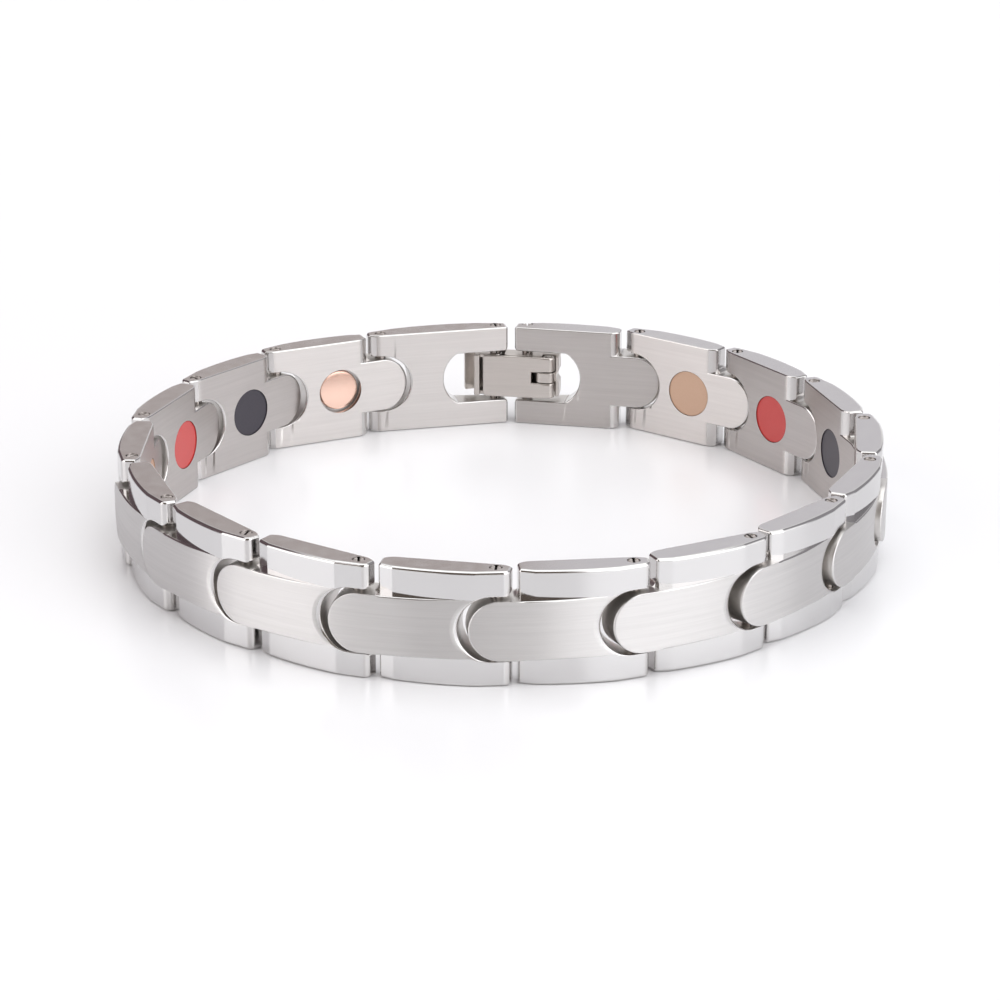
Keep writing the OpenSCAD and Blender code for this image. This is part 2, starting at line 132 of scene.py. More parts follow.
# Light: the room's own, the round light above with its azimuth, elevation and half angle, and the cards, each
# with its first and last azimuth, lowest and highest elevation, width of its soft edge, and light
ROOM_LIGHT = (0.29, 0.28, 0.29)
TOP_LIGHT_WAY, TOP_LIGHT_ANGLE, TOP_LIGHT = (90, 85), 32, (1.84, 1.86, 1.87)
CARDS = (
    (0, 62, -8, 60, 8, (0.36, 0.35, 0.37)),
    (62, 106, -8, 50, 10, (1.0, 1.0, 1.0)),
    (89.3, 106, 15.5, 24.5, 0.6, (0.50, 0.44, 0.43)),
    (67, 89.3, 15.5, 24.5, 0.6, (0.74, 0.72, 0.76)),
    (106, 180, -8, 60, 3, (0.15, 0.11, 0.12)),
    (222, 287, -8, 66, 3, (0.16, 0.13, 0.11)),
    (224, 249, -8, 10, 4, (1.2, 1.17, 1.14)),
    (181, 223, -8, 50, 2.5, (2.1, 2.04, 2.02)),
    (340, 364, -8, 62, 10, (1.35, 1.35, 1.37)),
    (287, 344, -8, 62, 3, (2.2, 2.2, 2.22)),
    (268, 296, -8, 10, 4, (0.85, 0.82, 0.79)),
)


# Values and places

def linear(hex_colour):
    """An sRGB hex colour as linear RGBA."""
    c = np.array([int(hex_colour[i:i + 2], 16) / 255 for i in (1, 3, 5)])
    c = np.where(c <= 0.04045, c / 12.92, ((c + 0.055) / 1.055) ** 2.4)
    return (*c.tolist(), 1.0)


def quarter(n, start=0.0, end=90.0):
    """Angles of a rounding, in radians."""
    return np.radians(np.linspace(start, end, n))


def ease(low, high, x):
    """Smooth step: 0 up to low, 1 from high on."""
    t = np.clip((x - low) / (high - low), 0, 1)
    return t * t * (3 - 2 * t)


def pin_place(name):
    """Middle of a pin seen from above, in millimetres."""
    low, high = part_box(name)
    return (np.array(low)[:2] + np.array(high)[:2]) / 2 / MM


def place(pin, other, step, pin_y):
    """Matrix from a piece's own frame to the ring: its pin at depth pin_y, and the step to the other pin."""
    way = np.arctan2(*(other - pin)[::-1]) - np.arctan2(step[1], step[0])
    ring = Matrix.Translation((pin[0], pin[1], LOW[2])) @ Matrix.Rotation(way, 4, "Z")
    return Matrix.Scale(MM, 4) @ ring @ Matrix.Translation((0, -pin_y, 0))


PIN_NAMES = ["clasp_pin_left"] + ["pin_%02d" % i for i in range(1, 18)] + ["clasp_pin_right"]
PINS = [pin_place(name) for name in PIN_NAMES]


def link_place(i):
    """Where link i lies: 0 is the left clasp link, 1 to 16 the middle links, 17 the right clasp link."""
    if i == 0:
        return place(PINS[1], PINS[0], (LEFT_LEN, LEFT_PIN_Y - OWN_PIN_Y), OWN_PIN_Y)
    if i == 17:
        return place(PINS[18], PINS[17], (RIGHT_LEN, TONGUE_PIN_Y - RIGHT_PIN_Y), RIGHT_PIN_Y)
    return place(PINS[i + 1], PINS[i], (PITCH, TONGUE_PIN_Y - OWN_PIN_Y), OWN_PIN_Y)


def clasp_place():
    """Where the clasp lies: its own frame starts at the left clasp pin."""
    return place(PINS[0], PINS[18], RIGHT_PIN, 0.0)


# Surfaces

def shell(name, points, faces):
    """A closed mesh object: equal points merged, flat remains dropped, faces turned outwards."""
    mesh = bpy.data.meshes.new(name)
    mesh.from_pydata(points.reshape(-1, 3), [], faces)
    work = bmesh.new()
    work.from_mesh(mesh)
    bmesh.ops.remove_doubles(work, verts=work.verts, dist=1e-5)
    bmesh.ops.dissolve_degenerate(work, edges=work.edges, dist=1e-6)
    bmesh.ops.recalc_face_normals(work, faces=work.faces)
    work.to_mesh(mesh)
    work.free()
    piece = bpy.data.objects.new(name, mesh)
    bpy.context.scene.collection.objects.link(piece)
    return piece


def tube(name, sections):
    """Closed loops, m of n points each, joined one after the other, with a flat face over each end."""
    m, n = sections.shape[:2]
    k = np.arange(m * n).reshape(m, n)
    after = np.roll(k, -1, 1)
    sides = np.stack([k[:-1], after[:-1], after[1:], k[1:]], -1).reshape(-1, 4)
    return shell(name, sections, sides.tolist() + [k[0].tolist(), k[-1].tolist()])


def rounded_sections(x, y0, y1, z0, z1, r_low, r_high, n=5):
    """Loops at each x: a rectangle y0..y1 by z0..z1 whose corners at y0 and y1 have their own radii."""
    loops = []
    for turn, (cy, cz, r) in enumerate([(y1 - r_high, z1 - r_high, r_high), (y0 + r_low, z1 - r_low, r_low),
                                        (y0 + r_low, z0 + r_low, r_low), (y1 - r_high, z0 + r_high, r_high)]):
        a = quarter(n, 90 * turn, 90 * turn + 90)
        loops.append(np.stack([np.broadcast_to(x[:, None], (len(x), n)), cy[:, None] + r[:, None] * np.cos(a),
                               cz[:, None] + r[:, None] * np.sin(a)], -1))
    return np.concatenate(loops, 1)


def rail_face(x, x0, x1, t0, t1, crease0, crease1):
    """Outer face of a rail: the lowest of the crown and the slanted faces at its two ends."""
    half = (crease1 - crease0) / 2
    arc = CREASE_T - np.sqrt(CROWN_R ** 2 - half ** 2) + np.sqrt(CROWN_R ** 2 - (x - crease0 - half) ** 2)
    first = t0 + (CREASE_T - t0) * (x - x0) / (crease0 - x0)
    last = t1 + (CREASE_T - t1) * (x1 - x) / (x1 - crease1)
    return np.minimum(arc, np.minimum(first, last))


def band_face(x, face):
    """Outer face of the band: its arch, or the rails' face just past the socket, where the arch is lower."""
    arch = BAND_T - BAND_R + np.sqrt(BAND_R ** 2 - (x - BAND_TOP) ** 2)
    return np.maximum(arch, face(x) + BAND_LIFT)


def corner_depth(x, x0, x1, corner0, corner1):
    """Depth of the inner face's rounded corners at the two ends.

    Each is an arc of r = (length^2 + depth^2) / (2 depth) that meets the face smoothly: r - sqrt(r^2 - d^2),
    where d is the distance from where it starts.
    """
    total = np.zeros_like(x)
    for (length, depth), way_in in ((corner0, x - x0), (corner1, x1 - x)):
        r = (length ** 2 + depth ** 2) / (2 * depth)
        total = total + r - np.sqrt(r ** 2 - np.clip(length - way_in, 0, length) ** 2)
    return total


def plate(x0, x1, face, corner0, corner1, creases, ends):
    """A link's plate: rounded loops carried along it.

    At each end the outer face is drawn in by a quarter round of its own radius, in ends, and the two sides by
    another one. The loops stand closer together where the shape turns.
    """
    side, a = PLATE_SIDE, quarter(9)
    near = np.array([-0.12, -0.05, 0, 0.05, 0.12])
    x = np.concatenate([x0 + ends[0] * (1 - np.cos(a)), x1 - ends[1] * (1 - np.cos(a)),
                        x0 + side * (1 - np.cos(a[::2])), x1 - side * (1 - np.cos(a[::2])),
                        np.linspace(x0, x0 + corner0[0], 14), np.linspace(x1 - corner1[0], x1, 14),
                        np.linspace(x0 + ends[0], x1 - ends[1], 30)] + [c + near for c in creases])
    x = np.unique(np.round(x, 4))
    x = x[np.append(True, np.diff(x) > 0.004)]
    down = drawn_in(x - x0, ends[0]) + drawn_in(x1 - x, ends[1])
    draw = drawn_in(np.minimum(x - x0, x1 - x), side)
    low = corner_depth(x, x0, x1, corner0, corner1)
    return tube("plate", rounded_sections(x, low, face(x) - down, draw, LINK_H - draw,
                                          np.maximum(PLATE_INNER - draw, 0.02), PLATE_EDGE - draw))


def tongue(pin_x, face):
    """Band and tongue: loops that turn with a half-round end.

    The rims' radius grows with the square of the turn's sine. Where the band stands over the rails its rim is
    half as high as that step, within limits, and this fades out at the shoulder.
    """
    w = TONGUE_H / 2
    middle = pin_x + TONGUE_REACH - w
    b = quarter(22)
    x = np.concatenate([np.linspace(BAND_START, middle, 34)[:-1], middle + w * np.sin(b)])
    b = np.concatenate([np.zeros(33), b])
    half = w * np.cos(b)
    top_r, low_r = 0.05 + 0.11 * np.sin(b) ** 2, 0.12 + 0.28 * np.sin(b) ** 2
    step = np.clip(0.5 * (band_face(x, face) - face(x)), 0.05, 0.17)
    top_r = np.maximum(top_r, step * (1 - ease(SHOULDER_X - 0.3, SHOULDER_X + 0.3, x)))
    rows = []
    for r, angles in ((top_r, quarter(8)[::-1]), (low_r, quarter(6))):
        d = r[:, None] * (1 - np.cos(angles))
        px, pz = x[:, None] - d * np.sin(b)[:, None], half[:, None] - d * np.cos(b)[:, None]
        rise = r[:, None] * (1 - np.sin(angles))
        rows.append(np.stack([px, band_face(px, face) - rise if r is top_r else rise, pz], -1))
    top, low = rows
    side = np.concatenate([top[:, :1] * [1, 1, 0], top, low, low[:, -1:] * [1, 1, 0]], 1)
    loops = np.concatenate([side, (side * [1, 1, -1])[:, -2:0:-1]], 1)
    return tube("tongue", loops + [0, 0, MID])


def root_fillet(side):
    """Hollow fillet between the shoulder and one side of the tongue: a quarter round carried outwards."""
    r, back, a = FILLET_R, -0.15, quarter(12)
    arc = r - r * np.stack([np.sin(a), np.cos(a)], -1)
    loop = np.concatenate([arc, [[back, r], [back, back], [r, back]]]) - FILLET_SUNK
    x, z = SHOULDER_X + loop[:, 0], MID + side * (TONGUE_H / 2 + loop[:, 1])
    loops = [np.stack([x, 0 * x + y, z], -1) for y in FILLET_Y]
    return tube("fillet", np.stack(loops))


def half_round(x1, h):
    """Outline of a slot's half-round bottom at x1, with its outward directions."""
    a = quarter(33, 0, 180)
    out = np.stack([np.sin(a), np.cos(a)], -1)
    return [x1 - h / 2, 0] + out * h / 2, out


def window_round(x1, h):
    """Outline of a window's bottom at x1: a long arc between two small corners that meet the sides."""
    across = h / 2 - WINDOW_CORNER_R
    reach = WINDOW_END_R - WINDOW_CORNER_R
    turn = np.degrees(np.arccos(across / reach))
    corner = quarter(9, 0, turn)
    arc = quarter(25, turn, 180 - turn)
    out = np.stack([np.sin(corner), np.cos(corner)], -1)
    centre = [x1 - WINDOW_END_R + np.sqrt(reach ** 2 - across ** 2), across]
    first = centre + out * WINDOW_CORNER_R
    middle = np.stack([np.sin(arc), np.cos(arc)], -1)
    long_arc = [x1 - WINDOW_END_R, 0] + middle * WINDOW_END_R
    points = np.concatenate([first[:-1], long_arc, first[-2::-1] * [1, -1]])
    return points, np.concatenate([out[:-1], middle, out[-2::-1] * [1, -1]])


def slot_cutter(x0, bottom, h, rounding, face, depth):
    """Cutter of a slot with a round bottom, whose outline grows where it leaves the metal: the round rims.

    A rim's width and depth pass from the sides' values to the bottom's with the square of the outline's x
    direction. A ring is how far the outline grows, the level that it follows (0 the inner face, 1 the outer
    face, 2 none) and its distance from that level.
    """
    rims, rims_in, tip = rounding
    corner = quarter(7, 6, 90)
    side = np.stack([x0 + tip * (1 - np.cos(corner)), h / 2 + tip * (1 - np.sin(corner))], -1)
    side_n = np.stack([np.cos(corner), np.sin(corner)], -1)
    path = np.concatenate([side, bottom[0], side[::-1] * [1, -1]])
    out = np.concatenate([side_n, bottom[1], side_n[::-1] * [1, -1]])
    share = np.concatenate([0 * corner, np.clip(bottom[1][:, 0], 0, 1) ** 2, 0 * corner])
    wide, deep, wide_in, deep_in = (r[0] + (value - r[0]) * share for r in (rims, rims_in) for value in r[1:])
    angles = quarter(9, 0, 80)
    rings = [(wide_in * (1 - np.cos(a)), 0, deep_in * (1 - np.sin(a))) for a in angles[::-1]]
    rings += [(wide * (1 - np.cos(a)), 1, -deep * (1 - np.sin(a))) for a in angles]
    rings = [(rings[0][0], 2, -1.0)] + rings + [(wide * 0.95, 1, 0.012), (wide * 0.95, 2, 4.5)]
    loops = []
    for grow, level, y in rings:
        p = path + np.multiply(grow, np.ones(len(path)))[:, None] * out
        at = np.clip(p[:, 0], x0, None)
        height = (depth(at), face(at), 0 * at)[level] + y
        loops.append(np.stack([p[:, 0], height, p[:, 1] + MID], -1))
    loops = np.stack(loops)
    far = loops[:, [-1, 0]] * [0, 1, 1] + [x0 - 0.6, 0, 0]
    return tube("slot", np.concatenate([loops, far], 1))


def bore(x, y, r, axis, start, end, n=36):
    """Round cutter along y or z."""
    a = np.radians(np.arange(n) * 360 / n)
    ends = np.array([start, end])
    along = np.broadcast_to(ends[:, None], (2, n))
    p, q = np.broadcast_to(x + r * np.cos(a), (2, n)), np.broadcast_to(y + r * np.sin(a), (2, n))
    return tube("bore", np.stack([p, along, q] if axis == "y" else [p, q, along], -1))


def cut(body, steps):
    """Joins or cuts solids one after the other and keeps the result as plain mesh, without slivers."""
    for operation, tool in steps:
        change = body.modifiers.new("cut", "BOOLEAN")
        change.operation, change.object, change.solver = operation, tool, "EXACT"
    mesh = bpy.data.meshes.new_from_object(body.evaluated_get(bpy.context.evaluated_depsgraph_get()))
    for old in [body] + [tool for _, tool in steps]:
        bpy.data.objects.remove(old)
    work = bmesh.new()
    work.from_mesh(mesh)
    bmesh.ops.remove_doubles(work, verts=work.verts, dist=MERGE)
    work.to_mesh(mesh)
    work.free()
    return mesh


def shade(mesh, angle):
    """Smooth shading, but for edges sharper than the angle."""
    mesh.shade_smooth()
    mesh.set_sharp_from_angle(angle=np.radians(angle))
    return mesh


def turned(piece):
    """The shaded mesh of a turned or drawn piece."""
    mesh = piece.data
    bpy.data.objects.remove(piece)
    return shade(mesh, TURNED_SHARP)


def smooth(mesh):
    """The shaded mesh of a cut piece, with normals that keep its large faces flat."""
    piece = bpy.data.objects.new("smooth", shade(mesh, SHARP))
    bpy.context.scene.collection.objects.link(piece)
    weigh = piece.modifiers.new("weigh", "WEIGHTED_NORMAL")
    weigh.keep_sharp, weigh.weight = True, 90
    done = bpy.data.meshes.new_from_object(piece.evaluated_get(bpy.context.evaluated_depsgraph_get()))
    bpy.data.objects.remove(piece)
    return done


def grain_map(mesh):
    """UV map in millimetres: v along the grain, which is the link's length, and u across it.

    The faces' normals are worked out on the way and handed back.
    """
    count = len(mesh.loops)
    corner, normals = np.empty(count, int), np.empty((len(mesh.polygons), 3), np.float32)
    points, sizes = np.empty((len(mesh.vertices), 3), np.float32), np.empty(len(mesh.polygons), int)
    mesh.loops.foreach_get("vertex_index", corner)
    mesh.polygons.foreach_get("normal", normals.ravel())
    mesh.vertices.foreach_get("co", points.ravel())
    mesh.polygons.foreach_get("loop_total", sizes)
    p, n = points[corner], np.repeat(np.abs(normals), sizes, 0)
    side, end = (n[:, 2] > 0.71), (n[:, 0] > 0.71)
    u = np.where(side, p[:, 1], p[:, 2])
    v = np.where(end, p[:, 1], p[:, 0])
    layer = mesh.uv_layers.new(name="grain")
    layer.data.foreach_set("uv", np.stack([u, v], -1).astype(np.float32).ravel())
    return normals


def finish_faces(mesh, bands):
    """Gives each face its finish, by the way that it faces and where it lies."""
    normals = grain_map(mesh)
    middles = np.empty((len(mesh.polygons), 3), np.float32)
    mesh.polygons.foreach_get("center", middles.ravel())
    x, y, z = middles.T
    out, off = normals[:, 1], np.abs(z - MID)
    kind = np.full(len(x), EDGE)
    kind[(out < -0.975) & (y < 1.3)] = INSIDE
    kind[out > 0.88] = RAIL
    if bands:
        least = np.where(x > SHOULDER_X, 0.3, 0.9)
        kind[(out > least) & (off < TONGUE_H / 2) & (x > 0)] = BAND
    wall = (np.abs(out) < 0.3) & (off < TONGUE_H / 2 + 0.6)
    socket_wall = (off < SOCKET_H / 2) & (x < SOCKET_END + 0.1)
    kind[wall & (socket_wall | (x > SHOULDER_X + 0.02))] = WALL
    mesh.polygons.foreach_set("material_index", kind)


def put(mesh, name, matrix, node, materials, body="bracelet", shift=0.0):
    """Adds a piece in its place in the ring, riding on its body and standing for its node.

    The shift moves the grain on, so that no two links show the same streaks.
    """
    mesh = mesh.copy()
    mesh.name = name
    if shift:
        layer = mesh.uv_layers["grain"]
        uv = np.empty(len(mesh.loops) * 2, np.float32)
        layer.data.foreach_get("uv", uv)
        uv[::2] += shift
        layer.data.foreach_set("uv", uv)
    mesh.transform(matrix)
    for material in materials:
        mesh.materials.append(material)
    piece = bpy.data.objects.new(name, mesh)
    bpy.context.scene.collection.objects.link(piece)
    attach(piece, body)
    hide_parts(node)


# Materials

def add(tree, kind, sockets=None, **settings):
    """Adds a node: settings are its own values, sockets its inputs' values or the outputs linked to them."""
    node = tree.nodes.new(kind)
    for key, value in settings.items():
        setattr(node, key, value)
    for key, value in (sockets or {}).items():
        if isinstance(value, bpy.types.NodeSocket):
            tree.links.new(value, node.inputs[key])
        else:
            node.inputs[key].default_value = value
    return node


def new_material(name):
    """An empty node material with its output."""
    material = bpy.data.materials.new(name)
    material.use_nodes = True
    material.node_tree.nodes.clear()
    return material, material.node_tree


def brushed_steel(name, dark, light, roughness, spread, scratch, grain, anisotropy):
    """Brushed stainless steel: streaks in colour, roughness and height, and gloss drawn across the grain.

    The grain is the streaks' width and length in millimetres, and scratch the strength of their height.
    """
    material, tree = new_material(name)
    place_map = add(tree, "ShaderNodeUVMap", uv_map="grain").outputs["UV"]
    scale = (1 / grain[0], 1 / grain[1], 1)
    streaks = add(tree, "ShaderNodeMapping", {"Vector": place_map, "Scale": scale}).outputs["Vector"]
    fine = add(tree, "ShaderNodeTexNoise", {"Vector": streaks, "Scale": 1.0, "Detail": 5.0,
                                            "Roughness": 0.62})
    broad = add(tree, "ShaderNodeTexNoise", {"Vector": streaks, "Scale": 0.23, "Detail": 2.0})
    mixed = add(tree, "ShaderNodeMath", {0: fine.outputs["Fac"], 1: broad.outputs["Fac"]}, operation="ADD")
    ramp = add(tree, "ShaderNodeMapRange", {"Value": mixed.outputs[0], "From Min": 0.7, "From Max": 1.3})
    tint = add(tree, "ShaderNodeMix", {"Factor": ramp.outputs[0], "A": linear(dark), "B": linear(light)},
               data_type="RGBA")
    rough = add(tree, "ShaderNodeMapRange", {"Value": fine.outputs["Fac"], "From Min": 0.3, "From Max": 0.7,
                                             "To Min": roughness - spread, "To Max": roughness + spread})
    bump = add(tree, "ShaderNodeBump", {"Height": fine.outputs["Fac"], "Strength": scratch, "Distance": 2e-5})
    tangent = add(tree, "ShaderNodeTangent", direction_type="UV_MAP", uv_map="grain")
    steel = add(tree, "ShaderNodeBsdfPrincipled", {"Base Color": tint.outputs["Result"], "Metallic": 1.0,
                                                   "Roughness": rough.outputs[0],
                                                   "Normal": bump.outputs["Normal"],
                                                   "Anisotropic": anisotropy, "Tangent": tangent.outputs[0]})
    add(tree, "ShaderNodeOutputMaterial", {"Surface": steel.outputs[0]})
    return material


def polished_steel(name, colour, roughness, spread):
    """Polished stainless steel: a clear mirror with faint cloudy wear."""
    material, tree = new_material(name)
    where = add(tree, "ShaderNodeTexCoord").outputs["Object"]
    cloud = add(tree, "ShaderNodeTexNoise", {"Vector": where, "Scale": 900.0, "Detail": 4.0})
    rough = add(tree, "ShaderNodeMapRange", {"Value": cloud.outputs["Fac"], "From Min": 0.35, "From Max": 0.7,
                                             "To Min": roughness, "To Max": roughness + spread})
    steel = add(tree, "ShaderNodeBsdfPrincipled", {"Base Color": linear(colour), "Metallic": 1.0,
                                                   "Roughness": rough.outputs[0]})
    add(tree, "ShaderNodeOutputMaterial", {"Surface": steel.outputs[0]})
    return material


def glazed(name, dark, light, roughness, coat):
    """Smooth fired or cast filling of a disc: a faint speckle under a soft gloss."""
    material, tree = new_material(name)
    where = add(tree, "ShaderNodeTexCoord").outputs["Object"]
    speck = add(tree, "ShaderNodeTexNoise", {"Vector": where, "Scale": 5200.0, "Detail": 6.0,
                                             "Roughness": 0.7})
    tint = add(tree, "ShaderNodeMix", {"Factor": speck.outputs["Fac"], "A": linear(dark), "B": linear(light)},
               data_type="RGBA")
    bump = add(tree, "ShaderNodeBump", {"Height": speck.outputs["Fac"], "Strength": 0.15, "Distance": 1e-5})
    body = add(tree, "ShaderNodeBsdfPrincipled", {"Base Color": tint.outputs["Result"],
                                                  "Roughness": roughness, "Coat Weight": coat,
                                                  "Coat Roughness": 0.12, "Normal": bump.outputs["Normal"]})
    add(tree, "ShaderNodeOutputMaterial", {"Surface": body.outputs[0]})
    return material


def copper():
    """Satin copper: a warm pink metal whose colour and gloss vary a little from spot to spot."""
    material, tree = new_material("satin_copper")
    where = add(tree, "ShaderNodeTexCoord").outputs["Object"]
    cloud = add(tree, "ShaderNodeTexNoise", {"Vector": where, "Scale": 2600.0, "Detail": 5.0})
    tint = add(tree, "ShaderNodeMix", {"Factor": cloud.outputs["Fac"], "A": linear("#F3CBB8"),
                                       "B": linear("#F9D8C8")}, data_type="RGBA")
    rough = add(tree, "ShaderNodeMapRange", {"Value": cloud.outputs["Fac"], "To Min": 0.2, "To Max": 0.3})
    metal = add(tree, "ShaderNodeBsdfPrincipled", {"Base Color": tint.outputs["Result"], "Metallic": 1.0,
                                                   "Roughness": rough.outputs[0]})
    add(tree, "ShaderNodeOutputMaterial", {"Surface": metal.outputs[0]})
    return material


FINISH = {}


def finish(key):
    """Each finish is made once."""
    makers = {
        # Band and tongue: lengthwise belt grain, coarse enough to show at this distance
        "band": lambda: brushed_steel("brushed_band_steel", "#CFCDCC", "#D8D6D5", roughness=0.34,
                                      spread=0.018, scratch=0.05, grain=(0.07, 3.6), anisotropy=0.9),
        # Inner faces: finer satin grain along the link
        "inside": lambda: brushed_steel("satin_inside_steel", "#CFCBC9", "#D7D3D1", roughness=0.4,
                                        spread=0.018, scratch=0.05, grain=(0.07, 3.6), anisotropy=0.8),
        # Rims, walls and ends: polished, so they draw thin bright and dark lines
        "edge": lambda: polished_steel("polished_edge_steel", "#D2D0CF", 0.12, 0.05),
        # Round walls between a socket and a tongue: milled, so they blur what they mirror
        "wall": lambda: polished_steel("milled_wall_steel", "#D6D3D0", 0.3, 0.06),
        # Rails: polished outer faces
        "rail": lambda: polished_steel("polished_rail_steel", "#D7D6D6", 0.1, 0.04),
        # Clasp: stamped and drawn sheet, satin
        "sheet": lambda: brushed_steel("satin_sheet_steel", "#CAC4BF", "#D3CDC8", roughness=0.32,
                                       spread=0.02, scratch=0.03, grain=(0.09, 2.4), anisotropy=0.4),
        # Pins: drawn wire, duller than the links
        "wire": lambda: polished_steel("drawn_wire_steel", "#B5AEAA", 0.22, 0.08),
        "copper": copper,
        # Fillings of the other discs: dark dull ceramic, glossy cast resin, pale unglazed stoneware
        "black": lambda: glazed("black_ceramic", "#302C36", "#3F3B46", roughness=0.4, coat=0.15),
        "red": lambda: glazed("red_resin", "#C63230", "#D23E3A", roughness=0.4, coat=0.5),
        "tan": lambda: glazed("tan_stoneware", "#CBA68C", "#D5B299", roughness=0.45, coat=0.2),
    }
    if key not in FINISH:
        FINISH[key] = makers[key]()
    return FINISH[key]


# Pieces

def pin_bores(places):
    """Cutters for the split pins' bores."""
    return [("DIFFERENCE", bore(x, y, PIN_D / 2 + PIN_GAP, "z", -1, LINK_H + 1, 32)) for x, y in places]


def band_link(x0, corner, end, slot, tongue_x, pin_y, more=()):
    """A link with a band: plate, band and tongue, root fillets, slot, more cuts and two pin bores."""
    x1, creases = SHOULDER_X, (CREASE_ARM, CREASE_SHOULDER)
    face = lambda x: rail_face(x, x0, x1, ARM_T, SHOULDER_T, *creases)
    depth = lambda x: corner_depth(x, x0, x1, corner, SHOULDER_CORNER)
    steps = [("UNION", tongue(tongue_x, face)), ("UNION", root_fillet(1)), ("UNION", root_fillet(-1)),
             ("DIFFERENCE", slot_cutter(x0, *slot, lambda x: band_face(x, face), depth)), *more]
    steps += pin_bores([(0, pin_y), (tongue_x, TONGUE_PIN_Y)])
    mesh = cut(plate(x0, x1, face, corner, SHOULDER_CORNER, creases, (end, SHOULDER_END)), steps)
    finish_faces(mesh, True)
    return smooth(mesh)


def middle_link(bore_d):
    """Middle link: a socket at one end, the band's tongue at the other, and a blind bore for its disc."""
    slot = half_round(SOCKET_END, SOCKET_H), SOCKET_H, SOCKET_RIMS
    disc_bore = bore(DISC_X, MID, bore_d / 2, "y", -1, DISC_T + DISC_GAP, 72)
    return band_link(-ARM_REACH, ARM_CORNER, ARM_END, slot, PITCH, OWN_PIN_Y, [("DIFFERENCE", disc_bore)])


def right_clasp_link():
    """Right clasp link: a window at one end and the band's tongue at the other."""
    slot = window_round(RIGHT_WINDOW - RIGHT_REACH, WINDOW_H), WINDOW_H, WINDOW_RIMS
    return band_link(-RIGHT_REACH, WINDOW_CORNER, RIGHT_END, slot, RIGHT_LEN, RIGHT_PIN_Y)


def left_clasp_link():
    """Left clasp link: a plate with a socket at one end and a window at the other."""
    x0, x1 = -ARM_REACH, LEFT_LEN + LEFT_REACH
    creases = (CREASE_ARM, x1 - ARM_FACET)
    face = lambda x: rail_face(x, x0, x1, ARM_T, ARM_T, *creases)
    depth = lambda x: corner_depth(x, x0, x1, ARM_CORNER, WINDOW_CORNER)
    window = slot_cutter(0, window_round(LEFT_WINDOW, WINDOW_H), WINDOW_H, WINDOW_RIMS,
                         lambda x: face(x1 - x), lambda x: depth(x1 - x))
    window.data.transform(Matrix.Translation((x1, 0, 0)) @ Matrix.Scale(-1, 4, (1, 0, 0)))
    window.data.flip_normals()
    socket = slot_cutter(x0, half_round(SOCKET_END, SOCKET_H), SOCKET_H, SOCKET_RIMS, face, depth)
    steps = [("DIFFERENCE", socket), ("DIFFERENCE", window)]
    steps += pin_bores([(0, OWN_PIN_Y), (LEFT_LEN, LEFT_PIN_Y)])
    mesh = cut(plate(x0, x1, face, ARM_CORNER, WINDOW_CORNER, creases, (ARM_END, LEFT_END)), steps)
    finish_faces(mesh, False)
    return smooth(mesh)


def disc(radius, profile_y, profile_in, low):
    """A disc: a profile of depths and distances from the rim, turned round the disc's axis."""
    a = np.radians(np.arange(64) * 360 / 64)
    r = np.concatenate([radius - np.array(profile_in), [radius]])[::-1]
    y = np.concatenate([profile_y, [low]])[::-1]
    loops = np.stack([DISC_X + r[:, None] * np.cos(a), np.broadcast_to(y[:, None], (len(y), 64)),
                      MID + r[:, None] * np.sin(a)], -1)
    return tube("disc", loops)


def flush_disc():
    """Disc level with the link's inner face, its rim slightly broken."""
    a, edge, sunk = quarter(5), 0.06, 0.015
    return disc(DISC_BORE / 2 - DISC_GAP, edge * (1 - np.sin(a)) + sunk, edge * (1 - np.cos(a)), DISC_T)


def copper_disc():
    """Copper disc sunk in its bore: a dome that falls off with the square of the radius, its rim rounded."""
    radius, edge = COPPER_D / 2, 0.16
    a = quarter(7)
    inward = np.concatenate([edge * (1 - np.cos(a)), np.linspace(edge, radius - 0.02, 10)[1:]])
    dome = COPPER_SINK + (radius - inward) ** 2 / (2 * DOME_R)
    y = dome + np.concatenate([edge * (1 - np.sin(a)), np.zeros(9)])
    return disc(radius, y, inward, DISC_T)


def split_pin(turn):
    """Split pin: two half-round wires side by side, each a loop drawn in towards its ends."""
    r, end, a = PIN_D / 2, PIN_ROUND, quarter(6)
    step = end * (1 - np.cos(a))
    z = np.concatenate([PIN_SINK + step, LINK_H - PIN_SINK - step[::-1]])
    draw = np.concatenate([end * (1 - np.sin(a)), end * (1 - np.sin(a[::-1]))]) * 0.8
    flat = np.arcsin(PIN_SLIT / r)
    b = np.linspace(flat, np.pi - flat, 15)
    loop = np.stack([r * np.cos(b), r * np.sin(b)], -1)
    centre = np.array([0, r * 0.45])
    work = bmesh.new()
    for side in (1, -1):
        loops = (centre + (loop - centre) * (1 - draw / r)[:, None, None]) * [1, side]
        wire = tube("wire", np.concatenate([loops, np.broadcast_to(z[:, None, None], (len(z), 15, 1))], -1))
        work.from_mesh(wire.data)
        bpy.data.objects.remove(wire)
    mesh = bpy.data.meshes.new("split_pin")
    work.to_mesh(mesh)
    work.free()
    mesh.transform(Matrix.Rotation(turn, 4, "Z"))
    return shade(mesh, TURNED_SHARP)


def drawn_in(way_in, r):
    """Depth of a quarter round of radius r at a distance from an end."""
    return r - np.sqrt(r ** 2 - np.clip(r - way_in, 0, r) ** 2)


def block(low, high, rim):
    """A block with rounded edges: rounded loops along x, drawn in by a quarter round at both ends."""
    step = rim * (1 - np.cos(quarter(6)))
    x = np.concatenate([low[0] + step, high[0] - step[::-1]])
    draw = drawn_in(np.minimum(x - low[0], high[0] - x), rim)
    r = np.maximum(rim - draw, 0.01)
    return tube("block", rounded_sections(x, low[1] + draw, high[1] - draw, low[2] + draw, high[2] - draw,
                                          r, r))


